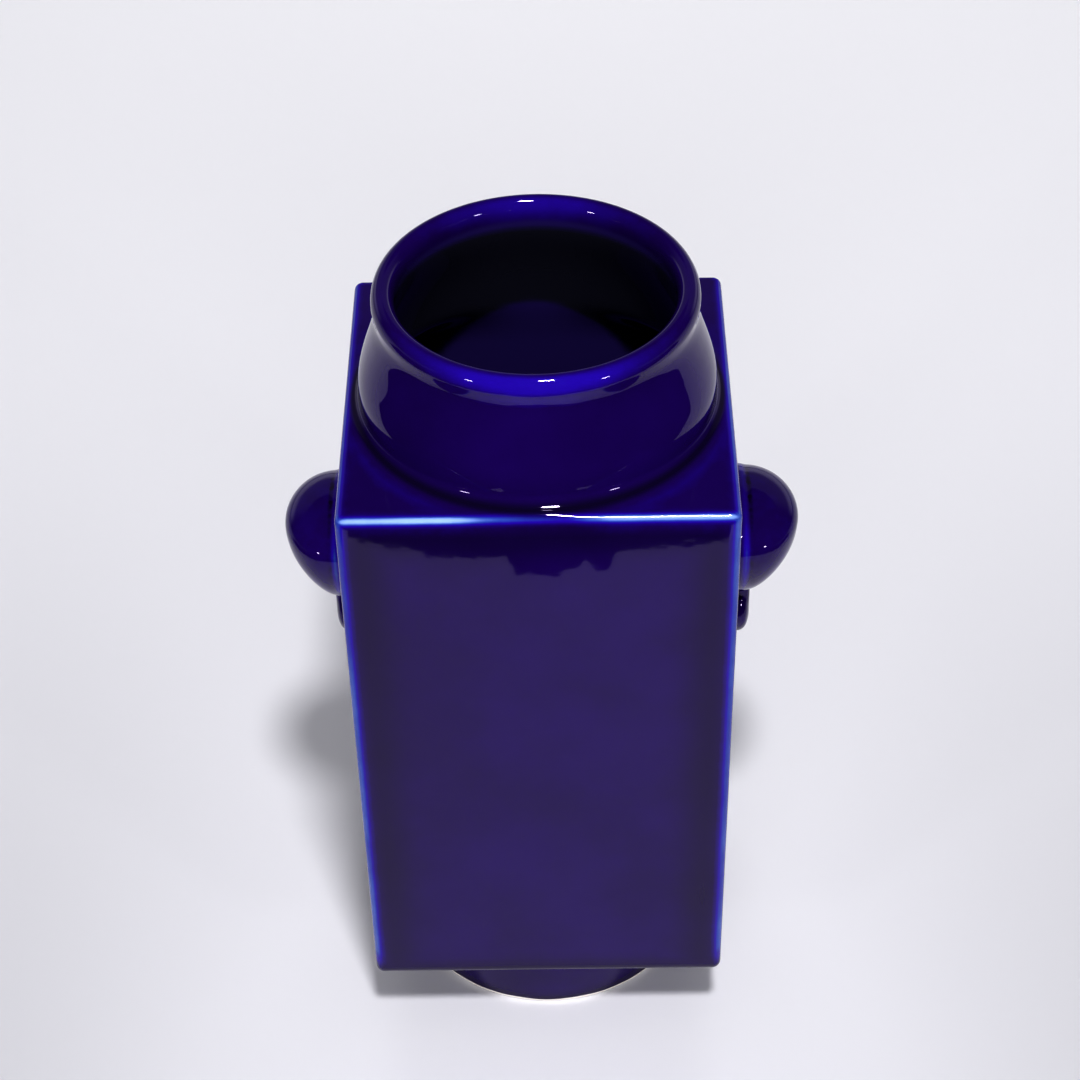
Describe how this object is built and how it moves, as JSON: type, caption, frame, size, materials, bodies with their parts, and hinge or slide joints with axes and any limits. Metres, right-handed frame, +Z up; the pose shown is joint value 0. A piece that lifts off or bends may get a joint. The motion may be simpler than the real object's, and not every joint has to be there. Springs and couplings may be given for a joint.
{
  "type": "square vase",
  "caption": "Square glazed vase with a round rolled-lip neck, a round foot ring and a plain lug handle on each side.",
  "frame": {"origin": "centre of the foot's underside, on the table", "axes": "+Z up through the mouth, -Y the front face, the handles on +X and -X"},
  "size_m": [0.1754, 0.1264, 0.2942],
  "materials": {
    "blue_glaze": "high gloss cobalt blue glaze, bare cream clay on the foot ring"
  },
  "bodies": {
    "root": {"vase": "blue_glaze"}
  },
  "joints": []
}
